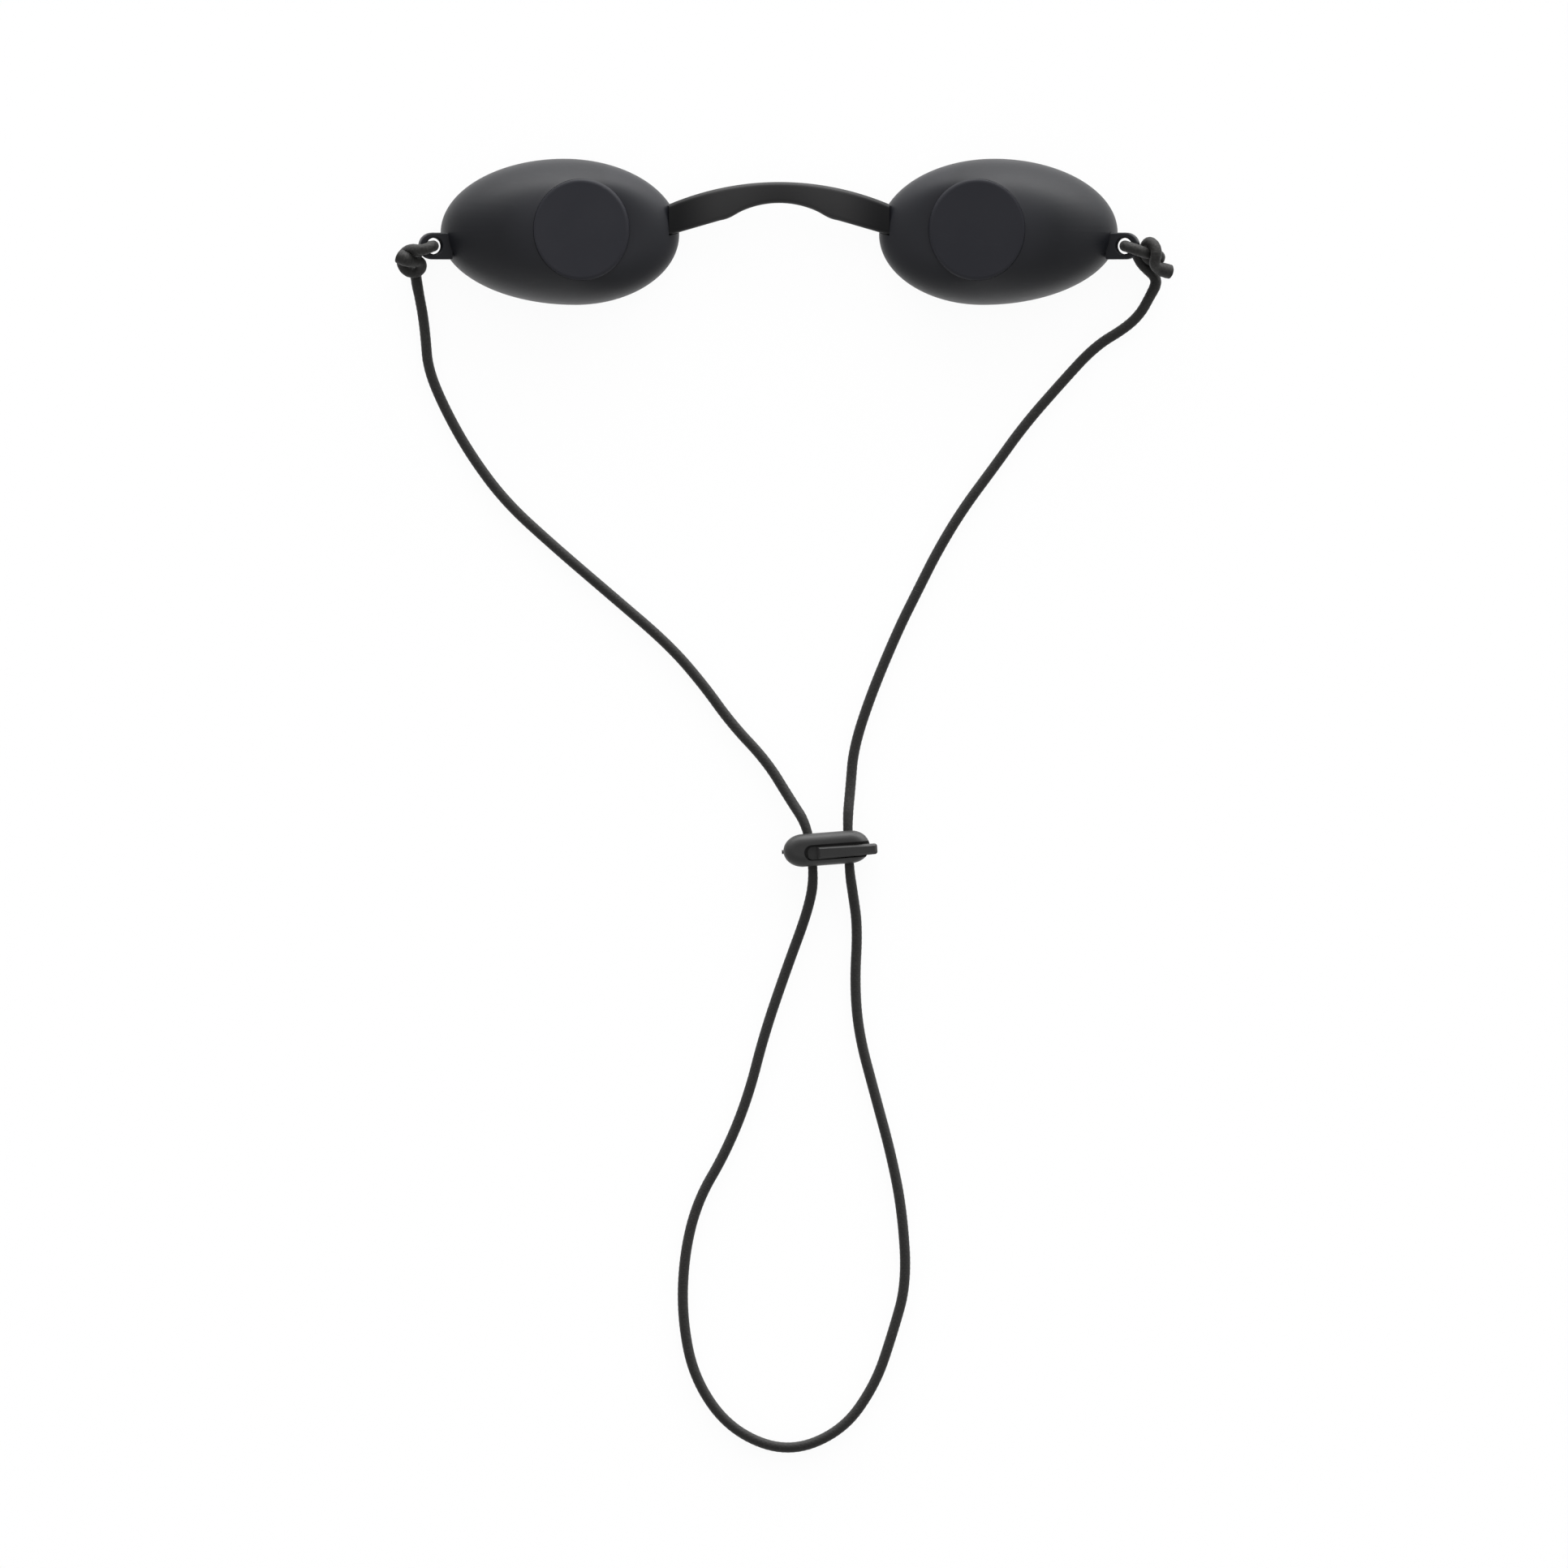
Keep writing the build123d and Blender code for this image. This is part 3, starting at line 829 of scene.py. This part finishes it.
def moulded(name, dark, light, roughness, grain, ior, painted_light=None):
    """A satin moulding: fine spark-eroded grain, faint flow clouds, rub marks and dust.

    The grain is a depth in millimetres. A painted light gives the share and tone of a painted
    sheen, a paler colour that stands in for light.
    """
    finish = new_finish(name)
    place = finish.place()
    cloud = finish.noise(place, scale=0.11, detail=3, roughness=0.55)
    fine = finish.noise(place, scale=5.5, detail=2, roughness=0.6)
    dust = finish.noise(place, scale=1.9, detail=4, roughness=0.75).ramp(0.66, 0.74)
    stretched = finish.stretched(place, rub_stretch)
    rub = finish.noise(stretched, scale=0.7, detail=3, roughness=0.6).ramp(0.58, 0.76)
    color = finish.mix(cloud.ramp(0.3, 0.7), dark, light)
    # Painted sheen: a paler colour put where light falls, in the share that is given
    if painted_light:
        share, tone = painted_light(finish, place)
        color = finish.mix(share, color, tone)
    dusty = tuple(value * dust_gain + dust_lift for value in light)
    color = finish.mix(dust * dust_share + rub * rub_share, color, dusty)
    uneven = (cloud - 0.5) * cloud_shine
    shine = roughness + uneven + (fine - 0.5) * grain_shine - rub * rub_shine
    normal = finish.bump(fine, grain * mm, grain_strength)
    finish.surface({"Base Color": color, "Roughness": shine, "Normal": normal, "IOR": ior})
    return finish


# The cup's colour has a painted sheen about the window and on the nose's side
cup_plastic = moulded(
    "cup_plastic",
    dark=(0.0075, 0.0081, 0.0107),
    light=(0.0096, 0.0102, 0.0128),
    roughness=0.46,
    grain=0.02,
    ior=1.35,
    painted_light=painted_window_sheen,
)
filter_plastic = moulded(
    "filter_plastic",
    dark=(0.0136, 0.0141, 0.0194),
    light=(0.0155, 0.0159, 0.0212),
    roughness=0.50,
    grain=0.012,
    ior=1.35,
)
# The bridge's colour has a painted sheen off the middle and painted shade at the ends
bridge_rubber = moulded(
    "bridge_rubber",
    dark=(0.0018, 0.0019, 0.0024),
    light=(0.0027, 0.0029, 0.0035),
    roughness=0.42,
    grain=0.03,
    ior=1.32,
    painted_light=painted_bridge_sheen,
)
lock_plastic = moulded(
    "lock_plastic",
    dark=(0.0188, 0.0186, 0.0187),
    light=(0.0232, 0.0230, 0.0232),
    roughness=0.44,
    grain=0.03,
    ior=1.44,
)


# ---------------------------------------------------------------- braid and spring steel

# Yarn: painted shade in the groove between two strands, their crest, worn fibres, and painted
# highlight on ribs
groove_shade_black = (0.0018, 0.0017, 0.0015)
crest_black = (0.0070, 0.0066, 0.0060)
worn_fibre_and_rib_highlight = (0.0192, 0.0184, 0.0166)
fibre_share = 0.20
rib_highlight_share = 0.25

# What passes over the yarn, and how much of it shows at most
brown_fleck, brown_share = (0.0200, 0.0160, 0.0136), 0.40
green_fleck, green_share = (0.0064, 0.0090, 0.0093), 0.35
bright_filament, bright_share = (0.0480, 0.0464, 0.0432), 0.42
dark_stretch, dark_share = (0.0050, 0.0048, 0.0044), 0.45

# Ribs across the cord, in millimetres, and the fibres whose pattern shifts them
rib_pitch = 0.37
rib_shift = 9.0
fibre_girth = 0.8
fibre_pace = 3.4
fibre_relief = 0.05 * mm
fibre_strength = 0.6
yarn_roughness = 0.62

# Spring steel
steel_tones = (0.42, 0.42, 0.43), (0.58, 0.58, 0.59)
steel_roughness = 0.22
streak_shine = 0.12
streak_stretch = (1.0, 6.0, 6.0)


def make_cord_braid():
    """Black yarn in crossing strands, with painted shade in the grooves between them, paler worn
    fibres and filaments, and a painted highlight on the crests of its ribs.
    """
    finish = new_finish("cord_braid")
    turn, along, _ = finish.split(finish.node("ShaderNodeTexCoord")["UV"])
    first = turn * strands + along * (mm / pick / 2)
    second = turn * strands - along * (mm / pick / 2)
    strand = (first * math.pi).sine().size().most((second * math.pi).sine().size())
    # The pattern of the fibres closes on itself round the cord
    around = {
        "X": (turn * math.tau).sine() * fibre_girth,
        "Y": ((turn + 0.25) * math.tau).sine() * fibre_girth,
        "Z": along * fibre_pace,
    }
    wrapped = finish.node("ShaderNodeCombineXYZ", None, around)["Vector"]
    shift = finish.noise(wrapped, scale=1.0, detail=3, roughness=0.65)
    rib = (along * (math.tau / rib_pitch) + shift * rib_shift).sine() * 0.5 + 0.5
    fibre = shift.ramp(0.32, 0.68)
    spark = finish.noise(wrapped, scale=1.9, detail=2, roughness=0.6).ramp(0.57, 0.70)
    place = finish.place()
    fleck = finish.noise(place, scale=2.3, detail=2, roughness=0.6)
    slow = finish.noise(place, scale=0.055, detail=2, roughness=0.5)
    # Painted shade: the yarn is darker in the grooves between strands
    color = finish.mix(strand.ramp(0.40, 1.0), groove_shade_black, crest_black)
    # Paler worn fibres, and a painted highlight on the crests of the ribs
    color = finish.mix(fibre * fibre_share + rib * rib_highlight_share, color, worn_fibre_and_rib_highlight)
    color = finish.mix(fleck.ramp(0.52, 0.70) * brown_share, color, brown_fleck)
    color = finish.mix(fleck.ramp(0.48, 0.30) * green_share, color, green_fleck)
    color = finish.mix(spark * bright_share, color, bright_filament)
    color = finish.mix(slow.ramp(0.62, 0.40) * dark_share, color, dark_stretch)
    relief = rib * 0.5 + fibre * 0.5
    finish.surface(
        {
            "Base Color": color,
            "Roughness": yarn_roughness + (fleck - 0.5) * 0.1,
            "Normal": finish.bump(relief, fibre_relief, fibre_strength),
            "IOR": 1.44,
            "Sheen Weight": 0.065,
            "Sheen Roughness": 0.45,
        }
    )
    return finish


def make_spring_steel():
    """Bright wire with the faint streaks of its drawing."""
    finish = new_finish("spring_steel")
    streaks = finish.stretched(finish.place(), streak_stretch)
    drawn = finish.noise(streaks, scale=3, detail=3, roughness=0.6)
    color = finish.mix(drawn, *steel_tones)
    shine = steel_roughness + drawn * streak_shine
    finish.surface({"Base Color": color, "Roughness": shine, "Metallic": 1.0})
    return finish


cord_braid = make_cord_braid()
spring_steel = make_spring_steel()


# ---------------------------------------------------------------- studio

# Floor: how much of the light its pale sheet stops, and its two tones
floor_size = 3.0
floor_share = 0.07
floor_tones = (0.95, 0.95, 0.95), (0.97, 0.97, 0.97)

# Surround: how bright each side of it is. The brow's side leans east, the nose's is a patch
# that a higher focus makes narrower, and a span is how far up or down one passes into another.
brow_light = 3.50
brow_lean = 0.20
nose_light = 0.50
nose_focus = 8.0
room_light = 0.525
ceiling_span = (0.35, 0.95)
table_light = 1.2
table_span = (-0.20, -0.70)
backdrop_white = 1.01

# Softbox beyond the brow
softbox_place = (0.15, 1.7, 0.3)
softbox_aim = (0, -0.05, 0)
softbox_size = (3.2, 0.5)
softbox_power = 20


def make_floor():
    """A pale sheet that mostly shows the white behind it, and keeps a soft shadow."""
    clear_selection()
    bpy.ops.mesh.primitive_plane_add(size=floor_size, location=(0, 0, 0))
    floor = name_new_piece("floor")
    finish = new_finish("floor_sheet")
    cloud = finish.noise(finish.place(), scale=0.01, detail=2, roughness=0.5)
    color = finish.mix(cloud, *floor_tones)
    sheet = finish.node("ShaderNodeBsdfDiffuse", None, {"Color": color})["BSDF"]
    clear = finish.node("ShaderNodeBsdfTransparent")["BSDF"]
    both = finish.node("ShaderNodeMixShader", None, {0: floor_share, 1: clear, 2: sheet})
    finish.node("ShaderNodeOutputMaterial", None, {"Surface": both["Shader"]})
    paint(floor, finish)


def make_surround():
    """Lights the goggles from beyond the brow, dimly from elsewhere, and from the table.

    What the camera sees directly, past the goggles, is plain white.
    """
    world = bpy.data.worlds.new("studio")
    bpy.context.scene.world = world
    finish = Finish(world)
    east, north, up = finish.split(finish.node("ShaderNodeTexCoord")["Generated"])
    lean = north + east * brow_lean
    far, near = lean.most(0), (lean * -1).most(0)
    level = far * far * brow_light + near**nose_focus * nose_light + room_light
    overhead = up.ramp(*ceiling_span)
    level = level * (1 - overhead) + overhead * room_light
    table = up.ramp(*table_span)
    level = level * (1 - table) + table * table_light
    light = finish.node("ShaderNodeLightPath")
    seen = light["Is Camera Ray"].most(light["Is Transmission Ray"])
    level = level * (1 - seen) + seen * backdrop_white
    sockets = {"Color": (1, 1, 1), "Strength": level}
    shader = finish.node("ShaderNodeBackground", None, sockets)["Background"]
    finish.node("ShaderNodeOutputWorld", None, {"Surface": shader})


def add_softbox():
    """A long, low softbox, which the brow's side of each cup reflects."""
    data = bpy.data.lights.new("brow_light", "AREA")
    data.shape = "RECTANGLE"
    data.size, data.size_y = softbox_size
    data.energy = softbox_power
    light = bpy.data.objects.new("brow_light", data)
    bpy.context.scene.collection.objects.link(light)
    light.location = softbox_place
    direction = Vector(softbox_aim) - Vector(softbox_place)
    light.rotation_euler = direction.to_track_quat("-Z", "Y").to_euler()


# ---------------------------------------------------------------- all of it

add_camera()
make_cords()
for side in ("left", "right"):
    make_half_bridge(side)
    paint(nodes[f"{side}_cup"], cup_plastic)
    paint(nodes[f"{side}_lens"], filter_plastic)
for name in ("lock_barrel", "lock_plunger"):
    paint(nodes[name], lock_plastic)
make_spring()
make_floor()
make_surround()
add_softbox()
bpy.context.scene.view_settings.view_transform = "Standard"
